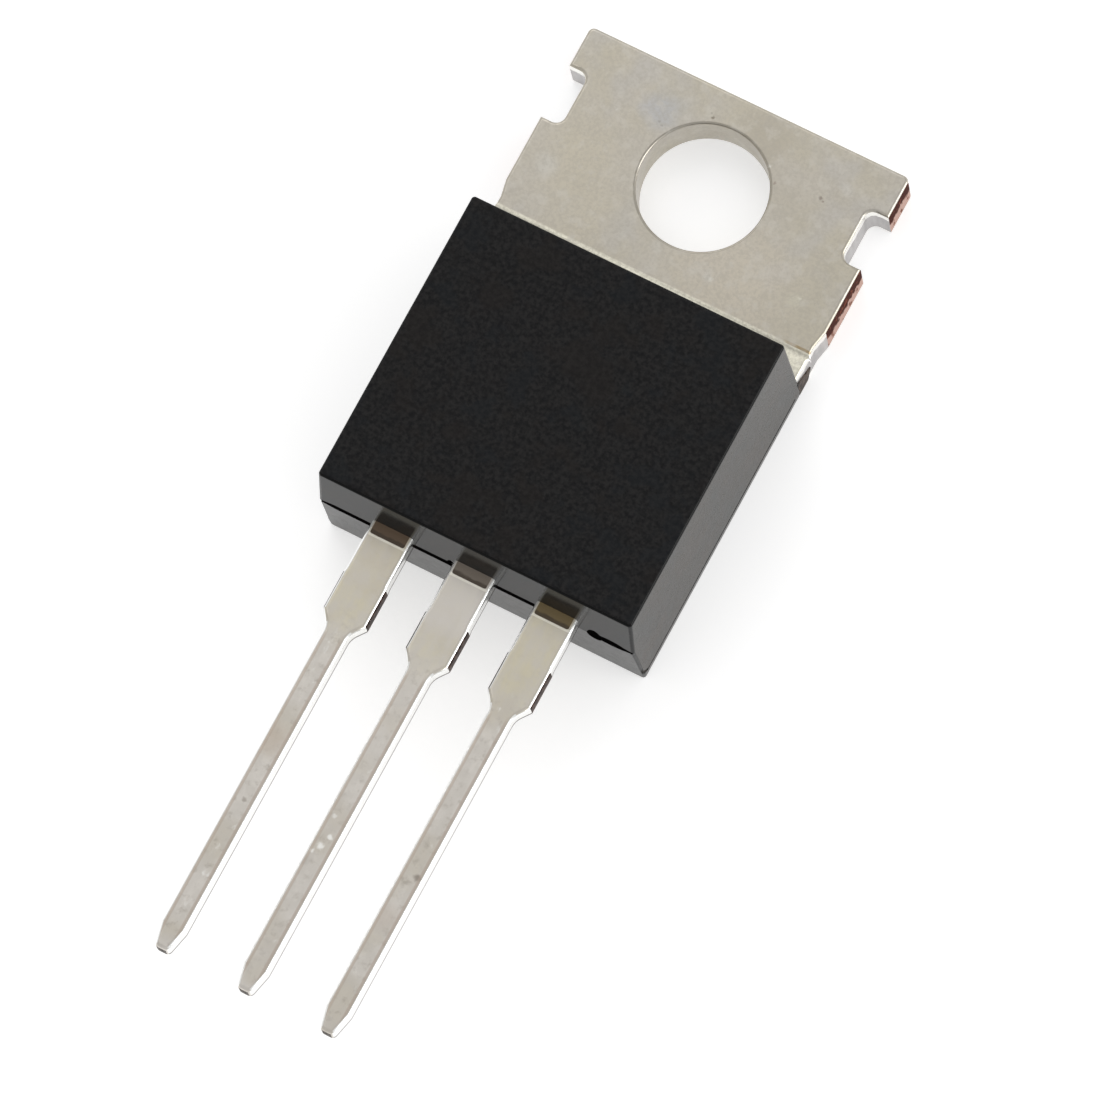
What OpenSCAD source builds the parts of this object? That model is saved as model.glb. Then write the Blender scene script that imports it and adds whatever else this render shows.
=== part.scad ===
// Thyristor in a three-lead power package with a screw-down heat tab (TO-220AB outline).
// It lies on its back. The origin is on the axis of the mounting hole, at the tab's back face.
// +Z points up through the tab, +Y to the tab's free edge, and the leads run out along -Y.

/* [Heat tab] */
// Width of the tab across its ears
tab_w = 10; // [9.8:0.1:10.6]
// Thickness of the tab
tab_t = 1.3; // [1.1:0.05:1.5]
// Axis of the mounting hole to the free edge of the tab
tab_edge = 2.8; // [2.6:0.1:3.2]
// Diameter of the mounting hole
hole_d = 3.7; // [3.4:0.1:4]
// Radius of the tab's free corners
tab_corner_r = 0.3; // [0.1:0.05:0.5]
// Length of the notch in each side, measured along the tab
notch_l = 1.65; // [1.2:0.05:1.8]
// Depth of each notch
notch_d = 0.62; // [0.45:0.02:0.8]
// Radius of the inner corners of each notch
notch_r = 0.28; // [0.1:0.02:0.4]
// How far each notch reaches past the hole axis, towards the leads
notch_drop = 0.15; // [0:0.05:0.4]
// Hole axis to the point where the sides start to narrow
neck_start = 2.2; // [1.8:0.1:2.4]
// Length of the slope that narrows each side
neck_slope = 0.3; // [0.1:0.05:0.4]
// Width of the neck that enters the moulding
neck_w = 9.7; // [9.3:0.1:9.7]
// Hole axis to the edge of the shallow band that the mould pressed beside the moulding
band_start = 2.92; // [2.8:0.02:3.2]
// Depth of the pressed band
band_d = 0.05; // [0.02:0.01:0.1]

/* [Heat tab inside the moulding] */
// How far the full-width neck runs into the moulding
neck_embed = 0.5; // [0.3:0.1:1]
// Width of the header that carries the chip
header_w = 8.2; // [7:0.1:8.8]
// Gap from the header's end to the lead end of the moulding
header_gap = 3.1; // [2.8:0.1:3.6]

/* [Moulded body] */
// Width of the moulding at its widest
body_w = 9.9; // [9.8:0.1:10.4]
// Height of the moulding, back to front
body_t = 4.4; // [4.3:0.05:4.8]
// Hole axis to the near edge of the front face
body_start = 3.8; // [3.6:0.1:4.2]
// Hole axis to the lead end of the moulding, at the parting line
body_end = 12.94; // [12.6:0.02:13.6]
// How far each side leans in from its widest to the front face
side_lean = 0.13; // [0.05:0.01:0.3]
// How far the lead end leans in from the parting line to the front face
front_end_lean = 0.26; // [0.1:0.02:0.4]
// How far the lead end leans in from the parting line to the back
back_end_lean = 0.1; // [0.05:0.01:0.2]
// How far the tab end leans in from the tab to the front face
tab_end_lean = 0.08; // [0.04:0.01:0.2]
// How far each side leans in from its widest to the back
back_side_lean = 0.02; // [0.01:0.01:0.05]
// Height of the parting line along the sides
side_parting_z = 0.35; // [0.2:0.05:0.6]
// Radius of the upright corners
body_corner_r = 0.3; // [0.15:0.05:0.6]
// Length of the foot of moulding compound that runs out along each side of the neck
foot_l = 0.6; // [0.3:0.05:0.7]
// Height of those feet
foot_t = 0.8; // [0.5:0.05:1]

/* [Leads] */
// Distance between lead centres
lead_pitch = 2.54; // [2.5:0.01:2.6]
// Thickness of the leads
lead_t = 0.48; // [0.4:0.02:0.6]
// Height of the leads' underside, which is also the parting line at the lead end
lead_z = 2.6; // [2.3:0.05:2.8]
// Width of each lead where it leaves the moulding
root_w = 1.3; // [1.1:0.05:1.5]
// Length of the wide root outside the moulding
root_l = 2.7; // [2.2:0.1:3.5]
// Length of the slope from the root to the narrow part
shoulder_l = 0.4; // [0.2:0.05:0.8]
// Width of the narrow part
lead_w = 0.74; // [0.6:0.02:0.9]
// Length of each lead outside the moulding
lead_l = 13.06; // [12:0.1:14.4]
// Length of the tapered tip
tip_l = 0.7; // [0.4:0.05:1.2]
// Width at the very end of the tip
tip_w = 0.42; // [0.3:0.02:0.55]
// Length of the stub that is left where the tie bar was cut off
stub_l = 1.25; // [0.8:0.05:1.6]
// How far the stub stands proud of the root on each side
stub_proud = 0.04; // [0.02:0.01:0.08]

/* [Lead posts inside the moulding] */
// Lead end of the moulding to the near edge of each bond post
post_inset = 1; // [0.8:0.1:1.4]
// Length of each bond post
post_l = 1.3; // [1:0.1:1.5]
// Width of the cathode's bond post
cathode_post_w = 2.2; // [1.8:0.1:2.6]
// Width of the gate's bond post
gate_post_w = 1.7; // [1.4:0.1:2.2]
// Inner radius of the bends that carry the anode lead down to the header
joggle_r = 0.3; // [0.2:0.05:0.5]
// Slope of the anode lead between those bends, in degrees
joggle_angle = 50; // [40:5:60]

/* [Chip and bond wires] */
// Side of the square silicon chip
chip_w = 3.6; // [2.8:0.1:4.2]
// Thickness of the chip
chip_t = 0.25; // [0.15:0.05:0.35]
// Thickness of the solder under the chip
solder_t = 0.06; // [0.03:0.01:0.1]
// How far the solder shows around the chip
solder_rim = 0.15; // [0.05:0.05:0.3]
// Header's end to the nearest edge of the chip
chip_margin = 0.7; // [0.4:0.1:1.2]
// Diameter of the two cathode bond wires
cathode_wire_d = 0.38; // [0.3:0.02:0.5]
// Diameter of the gate bond wire
gate_wire_d = 0.25; // [0.15:0.01:0.3]
// Spacing of the two cathode bond wires
wire_gap = 0.8; // [0.7:0.05:1]
// Length of each wire's pressed foot, in wire diameters
foot_ratio = 1.6; // [1.2:0.1:2]
// Angle at which each wire leaves the chip, in degrees
wire_rise_angle = 40; // [35:1:45]
// Angle at which each wire comes down to its post, in degrees
wire_fall_angle = 30; // [25:1:35]
// Bend radius of the wires over their feet
heel_r = 0.4; // [0.3:0.05:0.5]
// Bend radius of the wires at the top of the loop
crest_r = 0.6; // [0.5:0.05:0.8]

/* [Hidden] */
$fn = 64;
overlap = 0.01;
header_y = -(body_end - header_gap);
neck_y = -(body_start + neck_embed);
band_y = -band_start;
parting_z = lead_z;
lead_top = lead_z + lead_t;
lead_y = -body_end;
post_y = lead_y + post_inset + post_l / 2;
chip_y = header_y + chip_margin + chip_w / 2;
chip_z = tab_t - band_d + solder_t;
chip_top = chip_z + chip_t;

// ---- plan outlines ----

// A rectangle from (x0, y0) to (x1, y1)
module box2d(x0, y0, x1, y1) translate([x0, y0]) square([x1 - x0, y1 - y0]);

// A rectangle centred on X whose corners at its two ends are rounded
module rounded_bar(w, y0, y1, r) {
    box2d(-w / 2 + r, y0, w / 2 - r, y1);
    box2d(-w / 2, y0 + r, w / 2, y1 - r);
    for (x = [-w / 2 + r, w / 2 - r], y = [y0 + r, y1 - r]) translate([x, y]) circle(r);
}

// The notch in the +X side of the tab, open past the side
module notch2d() {
    x0 = tab_w / 2 - notch_d;
    y0 = -notch_drop;
    y1 = y0 + notch_l;
    box2d(x0 + notch_r, y0, tab_w, y1);
    box2d(x0, y0 + notch_r, tab_w, y1 - notch_r);
    for (y = [y0 + notch_r, y1 - notch_r]) translate([x0 + notch_r, y]) circle(notch_r);
}

// The whole tab seen from the front, without its hole
module tab2d() {
    difference() {
        union() {
            box2d(-tab_w / 2, -neck_start, tab_w / 2, tab_edge - tab_corner_r);
            rounded_bar(tab_w, 0, tab_edge, tab_corner_r);
            polygon([[-tab_w / 2, -neck_start], [-neck_w / 2, -neck_start - neck_slope],
                     [neck_w / 2, -neck_start - neck_slope], [tab_w / 2, -neck_start]]);
            box2d(-neck_w / 2, neck_y, neck_w / 2, -neck_start - neck_slope);
            box2d(-header_w / 2, header_y, header_w / 2, neck_y);
        }
        notch2d();
        mirror([1, 0]) notch2d();
    }
}

// One lead seen from the front: y = 0 at the moulding's end, running out along -Y
module lead2d(inside) {
    half = [[root_w / 2, inside],
            [root_w / 2, -(root_l - stub_l)],
            [root_w / 2 + stub_proud, -(root_l - stub_l)],
            [root_w / 2 + stub_proud, -root_l],
            [lead_w / 2, -(root_l + shoulder_l)],
            [lead_w / 2, -(lead_l - tip_l)],
            [tip_w / 2, -lead_l]];
    n = len(half);
    polygon(concat(half, [for (i = [n - 1:-1:0]) [-half[i][0], half[i][1]]]));
}

// ---- heat tab with the anode lead ----

// Points along an arc about c, from angle a0 to a1
function arc(c, r, a0, a1, n = 12) =
    [for (i = [0:n]) c + r * [cos(a0 + (a1 - a0) * i / n), sin(a0 + (a1 - a0) * i / n)]];

// Side view of the anode lead's climb from the header to the lead plane, as (distance, height)
module joggle2d() {
    r = joggle_r;
    a = joggle_angle;
    z0 = tab_t - band_d - lead_t;
    climb = lead_z - z0;
    bend = 2 * r + lead_t;
    run = bend * sin(a) + (climb - bend * (1 - cos(a))) / tan(a);
    low = [0, z0 + lead_t + r];
    high = [run, lead_z - r];
    polygon(concat([[-overlap, z0]], arc(low, r + lead_t, -90, a - 90), arc(high, r, 90 + a, 90),
                   [[header_gap, lead_z], [header_gap, lead_top]],
                   arc(high, r + lead_t, 90, 90 + a), arc(low, r, a - 90, -90),
                   [[-overlap, z0 + lead_t]]));
}

module heat_tab() color([0.72, 0.70, 0.65]) {
    difference() {
        linear_extrude(tab_t) tab2d();
        translate([0, 0, -1]) cylinder(d = hole_d, h = tab_t + 2);
        translate([-tab_w, header_y - 1, tab_t - band_d]) cube([2 * tab_w, band_y - header_y + 1, 1]);
    }
    translate([root_w / 2, header_y, 0]) rotate([90, 0, -90]) linear_extrude(root_w) joggle2d();
    translate([0, lead_y, lead_z]) linear_extrude(lead_t) lead2d(0);
}

// ---- cathode and gate leads, each with its bond post ----

module outer_lead(x, post_w) {
    translate([x, lead_y, lead_z]) linear_extrude(lead_t) lead2d(post_inset + post_l / 2);
    translate([x - post_w / 2, lead_y + post_inset, lead_z]) cube([post_w, post_l, lead_t]);
}

module cathode_lead() color([0.74, 0.73, 0.68]) outer_lead(-lead_pitch, cathode_post_w);

module gate_lead() color([0.74, 0.73, 0.68]) outer_lead(lead_pitch, gate_post_w);

// ---- chip ----

module thyristor_chip() color([0.35, 0.36, 0.40])
    translate([-chip_w / 2, chip_y - chip_w / 2, chip_z]) cube([chip_w, chip_w, chip_t]);

module chip_solder() color([0.62, 0.62, 0.63]) {
    w = chip_w + 2 * solder_rim;
    translate([-w / 2, chip_y - w / 2, tab_t - band_d]) cube([w, w, solder_t]);
}

// ---- bond wires ----

// A bend of the wire: starts at the origin heading along +X and turns up (1) or down (-1)
module wire_bend(r, d, angle, turn) {
    translate([0, 0, turn * r]) rotate([90, 0, 0]) mirror([0, turn < 0 ? 1 : 0, 0])
        rotate([0, 0, -90]) rotate_extrude(angle = angle) translate([r, 0]) circle(d = d);
}

// The pressed foot of a wire, flat underneath and centred on the origin
module wire_foot(d, l) {
    translate([-l / 2, 0, 0]) rotate([90, 0, 90]) linear_extrude(l) {
        translate([0, d / 2]) circle(d = d);
        translate([-0.4 * d, 0]) square([0.8 * d, d / 2]);
    }
}

// A wire from the point a on the chip to the point b on a post
module bond_wire(a, b, d) {
    span = norm([b[0] - a[0], b[1] - a[1]]);
    rise = b[2] - a[2];
    l = foot_ratio * d;
    up = wire_rise_angle;
    down = wire_fall_angle;
    flat = span - l - (heel_r + crest_r) * (sin(up) + sin(down));
    tall = rise + (heel_r + crest_r) * (cos(up) - cos(down));
    s1 = (flat * sin(down) + tall * cos(down)) / sin(up + down);
    s2 = (flat * sin(up) - tall * cos(up)) / sin(up + down);
    heel = [heel_r * sin(up), heel_r * (1 - cos(up))];
    climb = heel + s1 * [cos(up), sin(up)];
    crest = climb + crest_r * [sin(up) + sin(down), cos(down) - cos(up)];
    fall = crest + s2 * [cos(down), -sin(down)];
    translate(a) rotate([0, 0, atan2(b[1] - a[1], b[0] - a[0])]) {
        wire_foot(d, 2 * l);
        translate([span, 0, rise]) wire_foot(d, 2 * l);
        translate([l / 2, 0, d / 2]) {
            wire_bend(heel_r, d, up, 1);
            translate([heel[0], 0, heel[1]]) rotate([0, 90 - up, 0]) cylinder(d = d, h = s1);
            translate([climb[0], 0, climb[1]]) rotate([0, -up, 0]) wire_bend(crest_r, d, up + down, -1);
            translate([crest[0], 0, crest[1]]) rotate([0, 90 + down, 0]) cylinder(d = d, h = s2);
            translate([fall[0], 0, fall[1]]) rotate([0, down, 0]) wire_bend(heel_r, d, down, 1);
        }
    }
}

// The two cathode wires run side by side; place is -1 for the outer one and 1 for the inner
module cathode_wire(place) {
    bond_wire([-chip_w / 6 + place * wire_gap / 2, chip_y - chip_w / 12, chip_top],
              [-lead_pitch + place * wire_gap / 2, post_y, lead_top], cathode_wire_d);
}

module outer_cathode_wire() color([0.85, 0.86, 0.87]) cathode_wire(-1);

module inner_cathode_wire() color([0.85, 0.86, 0.87]) cathode_wire(1);

module gate_wire() color([0.85, 0.86, 0.87])
    bond_wire([chip_w / 3, chip_y - chip_w / 4, chip_top], [lead_pitch, post_y, lead_top], gate_wire_d);

// ---- moulding ----

// Outline across the moulding, as (x, z)
module section_across() {
    w = body_w / 2;
    polygon([[-w + back_side_lean, 0], [w - back_side_lean, 0], [w, side_parting_z],
             [w - side_lean, body_t], [-w + side_lean, body_t], [-w, side_parting_z]]);
}

// Outline along the moulding, as (distance from the hole axis, z)
module section_along() {
    near = body_start - tab_end_lean;
    polygon([[near, 0], [body_end - back_end_lean, 0], [body_end, parting_z],
             [body_end - front_end_lean, body_t], [body_start, body_t], [near, tab_t]]);
}

// The moulding before anything is taken out of it, with the two feet beside the neck
module outer_form() {
    foot_y = -(body_start + body_corner_r);
    intersection() {
        rotate([90, 0, 0]) linear_extrude(body_end) section_across();
        union() {
            intersection() {
                linear_extrude(body_t)
                    rounded_bar(body_w, -body_end, -body_start + tab_end_lean, body_corner_r);
                translate([body_w, 0, 0]) rotate([90, 0, -90]) linear_extrude(2 * body_w)
                    section_along();
            }
            translate([-body_w / 2, foot_y, 0]) cube([body_w, foot_l + body_corner_r, foot_t]);
        }
    }
}

module moulded_body() color([0.12, 0.12, 0.13]) {
    difference() {
        outer_form();
        heat_tab();
        cathode_lead();
        gate_lead();
        thyristor_chip();
        chip_solder();
        outer_cathode_wire();
        inner_cathode_wire();
        gate_wire();
    }
}

heat_tab();
cathode_lead();
gate_lead();
thyristor_chip();
chip_solder();
outer_cathode_wire();
inner_cathode_wire();
gate_wire();
moulded_body();
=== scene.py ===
import math

import bmesh
import bpy
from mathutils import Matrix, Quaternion, Vector


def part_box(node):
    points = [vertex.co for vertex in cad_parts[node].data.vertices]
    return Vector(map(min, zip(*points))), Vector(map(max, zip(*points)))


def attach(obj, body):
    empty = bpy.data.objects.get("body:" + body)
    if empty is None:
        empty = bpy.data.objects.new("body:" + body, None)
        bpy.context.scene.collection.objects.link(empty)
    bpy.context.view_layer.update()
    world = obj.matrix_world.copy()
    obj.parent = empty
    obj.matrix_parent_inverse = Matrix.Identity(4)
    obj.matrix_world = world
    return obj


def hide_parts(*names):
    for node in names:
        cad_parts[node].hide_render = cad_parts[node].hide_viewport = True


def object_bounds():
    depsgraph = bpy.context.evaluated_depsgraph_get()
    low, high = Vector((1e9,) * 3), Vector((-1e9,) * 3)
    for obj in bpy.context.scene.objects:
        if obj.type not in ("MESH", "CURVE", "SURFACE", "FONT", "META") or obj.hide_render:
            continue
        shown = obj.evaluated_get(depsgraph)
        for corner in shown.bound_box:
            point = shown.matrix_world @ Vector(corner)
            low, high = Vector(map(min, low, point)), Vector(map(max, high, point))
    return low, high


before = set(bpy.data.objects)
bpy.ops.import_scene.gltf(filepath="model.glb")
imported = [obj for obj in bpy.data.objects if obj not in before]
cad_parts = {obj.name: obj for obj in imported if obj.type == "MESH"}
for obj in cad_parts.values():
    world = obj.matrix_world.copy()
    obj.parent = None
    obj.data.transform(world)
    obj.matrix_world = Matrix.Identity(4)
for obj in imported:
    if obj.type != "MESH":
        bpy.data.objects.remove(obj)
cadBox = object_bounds()
print("frame loaded:", ", ".join(sorted(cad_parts)))

# Sizes are in millimetres. A piece is modelled at that scale and brought to metres at the end.
mm = 0.001
flush = 0.002  # two levels this close are one level
mergeReach = 0.0005  # points closer than this become one
cornerTurn = 1.0  # faces that turn by more radians than this meet at a corner


def boxOf(node):  # a node's lowest and highest corner, in millimetres
    low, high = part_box(node)
    return low / mm, high / mm


# Small tools for modelling.

def deselectAll():
    if bpy.context.object and bpy.context.object.mode != "OBJECT":
        bpy.ops.object.mode_set(mode="OBJECT")
    bpy.ops.object.select_all(action="DESELECT")


def makeActive(piece):
    deselectAll()
    piece.select_set(True)
    bpy.context.view_layer.objects.active = piece


def applyPlace():
    bpy.ops.object.transform_apply(location=True, rotation=True, scale=True)


def addBlock(name, low, high):
    deselectAll()
    size = [b - a for a, b in zip(low, high)]
    middle = [(a + b) / 2 for a, b in zip(low, high)]
    bpy.ops.mesh.primitive_cube_add(size=1, location=middle)
    block = bpy.context.object
    block.name = block.data.name = name
    block.scale = size
    applyPlace()
    return block


def addRod(name, radius, low, high, sides):  # an upright rod on the Z axis
    deselectAll()
    bpy.ops.mesh.primitive_cylinder_add(vertices=sides, radius=radius, depth=high - low,
                                        location=(0, 0, (low + high) / 2))
    rod = bpy.context.object
    rod.name = name
    applyPlace()
    return rod


def startEdit(piece):
    makeActive(piece)
    bpy.ops.object.mode_set(mode="EDIT")


def endEdit():
    bpy.ops.object.mode_set(mode="OBJECT")


def pick(piece, kind, test):  # selects the points, edges or faces that pass the test
    bpy.ops.mesh.select_mode(type=kind)
    bpy.ops.mesh.select_all(action="DESELECT")
    mesh = bmesh.from_edit_mesh(piece.data)
    mesh.normal_update()
    found = 0
    for part in {"VERT": mesh.verts, "EDGE": mesh.edges, "FACE": mesh.faces}[kind]:
        if kind == "VERT":
            good = test(part.co)
        elif kind == "EDGE":
            first, second = part.verts[0].co, part.verts[1].co
            good = test((first + second) / 2, (second - first).normalized(), part)
        else:
            good = test(part.calc_center_median(), part.normal)
        if good:
            part.select_set(True)
            found += 1
    bmesh.update_edit_mesh(piece.data)
    if not found:
        raise ValueError(f"nothing picked on {piece.name}")


def push(y=0.0, z=0.0):  # extrudes what is selected
    bpy.ops.mesh.extrude_region_move(TRANSFORM_OT_translate={"value": (0, y, z)})


def shove(x=0.0, y=0.0, z=0.0):  # moves what is selected
    bpy.ops.transform.translate(value=(x, y, z))


def widen(factor):  # scales what is selected across X
    bpy.ops.transform.resize(value=(factor, 1, 1), center_override=(0, 0, 0))


def cutAcross(piece, place, normal, test=None):  # adds a line of edges where a plane crosses
    if test:
        pick(piece, "FACE", test)
    else:
        bpy.ops.mesh.select_all(action="SELECT")
    bpy.ops.mesh.bisect(plane_co=place, plane_no=normal)


def roundEdges(piece, radius, segments, test):
    pick(piece, "EDGE", test)
    bpy.ops.mesh.bevel(offset=radius, segments=segments, affect="EDGES", clamp_overlap=True)


def useModifier(piece, kind, **values):
    makeActive(piece)
    modifier = piece.modifiers.new(kind.lower(), kind)
    for key, value in values.items():
        setattr(modifier, key, value)
    bpy.ops.object.modifier_apply(modifier=modifier.name)


def carve(piece, tool, operation="DIFFERENCE", keep=False):
    useModifier(piece, "BOOLEAN", object=tool, operation=operation, solver="EXACT")
    if not keep:
        bpy.data.objects.remove(tool)


def copyOf(piece, name):
    twin = piece.copy()
    twin.data = piece.data.copy()
    twin.name = twin.data.name = name
    bpy.context.scene.collection.objects.link(twin)
    return twin


def joinFlats():  # takes out edges that lie inside a flat face
    bpy.ops.mesh.select_all(action="SELECT")
    bpy.ops.mesh.dissolve_limited(angle_limit=math.radians(0.2))


def isCorner(edge):
    return edge.is_manifold and edge.calc_face_angle(0.0) > cornerTurn


def same(first, second):
    return abs(first - second) < flush


def upright(direction):
    return abs(direction.z) > 0.999


def level(direction):
    return abs(direction.z) < 0.01


def finishShape(piece, angle=35):  # closes, points the faces out and sets the shading
    startEdit(piece)
    bpy.ops.mesh.select_all(action="SELECT")
    bpy.ops.mesh.remove_doubles(threshold=mergeReach)
    bpy.ops.mesh.normals_make_consistent(inside=False)
    endEdit()
    bpy.ops.object.shade_smooth_by_angle(angle=math.radians(angle))
    useModifier(piece, "WEIGHTED_NORMAL", keep_sharp=True, weight=100)


def toFrame(piece):  # millimetres to metres
    makeActive(piece)
    piece.scale = (mm, mm, mm)
    applyPlace()


# The camera.

cameraView = {
    "place": (55.454, -64.769, 245.892),
    "aim": (0.874, -10.785, 0.0),
    "roll": -17.81,
    "lens": 307.64,
    "sensor": 36,
    "clip": (0.01, 20),
}


def addCamera():
    data = bpy.data.cameras.new("camera")
    data.sensor_width = cameraView["sensor"]
    data.lens = cameraView["lens"]
    data.clip_start, data.clip_end = cameraView["clip"]
    camera = bpy.data.objects.new("camera", data)
    bpy.context.scene.collection.objects.link(camera)
    place, aim = Vector(cameraView["place"]), Vector(cameraView["aim"])
    camera.location = place * mm
    camera.rotation_mode = "QUATERNION"
    turn = Quaternion((0, 0, 1), math.radians(cameraView["roll"]))
    camera.rotation_quaternion = (aim - place).to_track_quat("-Z", "Y") @ turn
    bpy.context.scene.camera = camera


addCamera()
print("camera set")

# The leads.

lead = {
    "pitch": 2.54,
    "rootWidth": 1.3,
    "rootLength": 1.4,
    "stubProud": 0.02,
    "stubSlope": 0.15,
    "stubLength": 1.15,
    "width": 0.74,
    "shoulderLength": 0.4,
    "tipLength": 0.7,
    "tipWidth": 0.42,
    "topRound": 0.13,
    "underRound": 0.04,
    "shoulderRound": 0.16,
    "tipRound": 0.11,
}

caseLow, caseHigh = boxOf("moulded_body")
leadLow, leadHigh = boxOf("cathode_lead")
exitY, tipY = caseLow.y, leadLow.y
leadUnder, leadTop = leadLow.z, leadHigh.z
leadCentres = (-lead["pitch"], 0.0, lead["pitch"])
stubStart = exitY - lead["rootLength"] - lead["stubSlope"]
shoulderEnd = stubStart - lead["stubLength"] - lead["shoulderLength"]


def addLeadBlank():  # the part outside the moulding, centred on X
    half, narrow = lead["rootWidth"] / 2, lead["width"] / 2
    blank = addBlock("leadBlank", (-half, exitY - lead["rootLength"], leadUnder),
                     (half, exitY, leadTop))
    startEdit(blank)
    pick(blank, "FACE", lambda at, out: out.y < -0.99)
    stretches = [  # length and half width at the end of each, on to the tip
        (lead["stubSlope"], half + lead["stubProud"]),
        (lead["stubLength"], half + lead["stubProud"]),
        (lead["shoulderLength"], narrow),
        (shoulderEnd - tipY - lead["tipLength"], narrow),
        (lead["tipLength"], lead["tipWidth"] / 2),
    ]
    for length, reach in stretches:
        push(y=-length)
        widen(reach / half)
        half = reach
    roundEdges(blank, lead["shoulderRound"], 4, lambda at, along, edge: upright(along)
               and same(abs(at.x), narrow) and at.y > tipY + 2 * lead["tipLength"])
    roundEdges(blank, lead["tipRound"], 4, lambda at, along, edge: upright(along)
               and same(at.y, tipY))
    endEdit()
    return blank


def roundRims(piece, inner):  # the pressed top edges are rounder than the ones underneath
    for height, radius, segments in ((leadTop, lead["topRound"], 4),
                                     (leadUnder, lead["underRound"], 3)):
        roundEdges(piece, radius, segments, lambda at, along, edge: same(at.z, height)
                   and level(along) and isCorner(edge) and at.y < inner - flush)


def runInside(piece, length):  # carries the root on into the moulding
    pick(piece, "FACE", lambda at, out: out.y > 0.99)
    push(y=length)
    joinFlats()


leadBlank = addLeadBlank()

post = {"inset": 1.0, "length": 1.3, "cathodeWidth": 2.2, "gateWidth": 1.7}


def addOuterLead(name, node, postWidth):
    low, high = boxOf(node)
    piece = copyOf(leadBlank, name)
    startEdit(piece)
    run = post["inset"] + post["length"] / 2
    runInside(piece, run)
    roundRims(piece, exitY + run)
    endEdit()
    start = exitY + post["inset"]
    carve(piece, addBlock("postTool", (-postWidth / 2, start, leadUnder),
                          (postWidth / 2, start + post["length"], leadTop)), "UNION")
    startEdit(piece)
    joinFlats()
    bpy.ops.mesh.select_all(action="SELECT")
    shove(x=(low.x + high.x) / 2)
    endEdit()
    finishShape(piece)
    return piece


cathodeLead = addOuterLead("cathodeLeadStrip", "cathode_lead", post["cathodeWidth"])
gateLead = addOuterLead("gateLeadStrip", "gate_lead", post["gateWidth"])
print("outer leads modelled")

# The heat tab with the anode lead.

tab = {
    "halfWidth": 5.0,
    "freeEdge": 2.8,
    "thickness": 1.3,
    "holeRadius": 1.85,
    "holeSides": 96,
    "holeRound": 0.07,
    "cornerRound": 0.18,
    "notchStart": -0.15,
    "notchEnd": 1.5,
    "notchWall": 4.38,
    "notchRound": 0.28,
    "toolOver": 1.0,  # how far the tools for the hole and the notches stand out of the tab
    "neckStart": -2.2,
    "neckSlope": 0.5,
    "neckHalf": 4.9,
    "neckEnd": -4.3,
    "roundEnd": -3.78,
    "headerHalf": 4.1,
    "headerEnd": -9.84,
    "headerOverlap": 0.2,
    "bandEdge": -2.92,
    "bandStep": 0.2,
    "bandDrop": 0.05,
    "frontRound": 0.1,
    "backRound": 0.05,
    "joggleRadius": 0.3,
    "joggleAngle": 50,
    "joggleSteps": 6,
    "joggleEnd": 0.2,  # past the lead end of the case
    "leadOverlap": 0.3,  # how far the outer lead runs into the case to meet the joggle
}


def cutNotches(plate):
    for side in (-1, 1):
        left, right = sorted((side * tab["notchWall"], side * (tab["halfWidth"] + tab["toolOver"])))
        tool = addBlock("notchTool", (left, tab["notchStart"], -tab["toolOver"]),
                        (right, tab["notchEnd"], tab["thickness"] + tab["toolOver"]))
        startEdit(tool)
        roundEdges(tool, tab["notchRound"], 8, lambda at, along, edge: upright(along)
                   and same(abs(at.x), tab["notchWall"]))
        endEdit()
        carve(plate, tool)


def addJoggle(plate):  # bends the anode lead up from the header to the lead plane
    half = lead["rootWidth"] / 2
    top = tab["thickness"] - tab["bandDrop"]
    thick = leadTop - leadUnder
    end = tab["headerEnd"]

    def endFace(at, out):
        return out.y < -0.99 and same(at.y, end)

    for x in (-half, half):
        cutAcross(plate, (x, 0, 0), (1, 0, 0), endFace)
    cutAcross(plate, (0, 0, top - thick), (0, 0, 1), endFace)
    pick(plate, "FACE", lambda at, out: endFace(at, out) and abs(at.x) < half
         and at.z > top - thick)
    radius, steps = tab["joggleRadius"], tab["joggleSteps"]
    angle = math.radians(tab["joggleAngle"])
    climb = leadUnder - (top - thick)
    bend = 2 * radius + thick
    run = bend * math.sin(angle) + (climb - bend * (1 - math.cos(angle))) / math.tan(angle)
    slope = (climb - bend * (1 - math.cos(angle))) / math.sin(angle)

    def turnEnd(centre, step):
        for _ in range(steps):
            push()
            bpy.ops.transform.rotate(value=step, orient_axis="X", center_override=centre)

    turnEnd((0, end, top + radius), angle / steps)
    push(y=-slope * math.cos(angle), z=slope * math.sin(angle))
    turnEnd((0, end - run, leadUnder - radius), -angle / steps)
    push(y=exitY + tab["joggleEnd"] - (end - run))


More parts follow.
